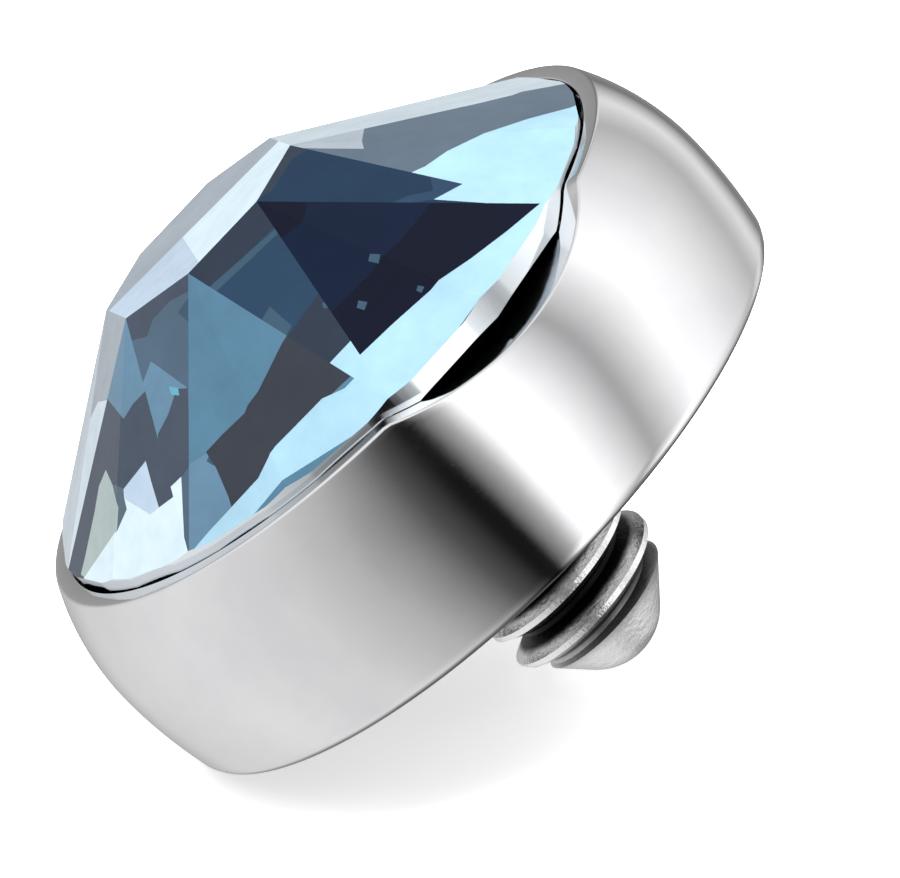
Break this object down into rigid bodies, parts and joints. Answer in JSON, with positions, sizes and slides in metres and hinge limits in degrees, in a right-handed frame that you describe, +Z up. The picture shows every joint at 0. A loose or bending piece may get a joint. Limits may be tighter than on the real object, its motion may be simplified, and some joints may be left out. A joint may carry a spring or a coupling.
{
  "type": "dermal anchor top",
  "caption": "Jewelled dermal anchor top: a polished barrel cup holding a foil-backed faceted glass stone, with a short threaded post under it.",
  "frame": {"origin": "on the surface that the part rests on, under the middle of its box", "axes": "+Z up; the part's own axis leans towards -X, with the stone facing up and to -X; the side that faces the camera is -Y"},
  "size_m": [0.0048, 0.005, 0.0038],
  "materials": {
    "polished_steel": "mirror polished surgical steel",
    "blue_glass": "faceted blue glass with a silvered back",
    "cut_steel": "bright cut thread, as turned"
  },
  "bodies": {
    "root": {"cup": "polished_steel", "stone": "blue_glass", "post": "cut_steel"}
  },
  "joints": []
}
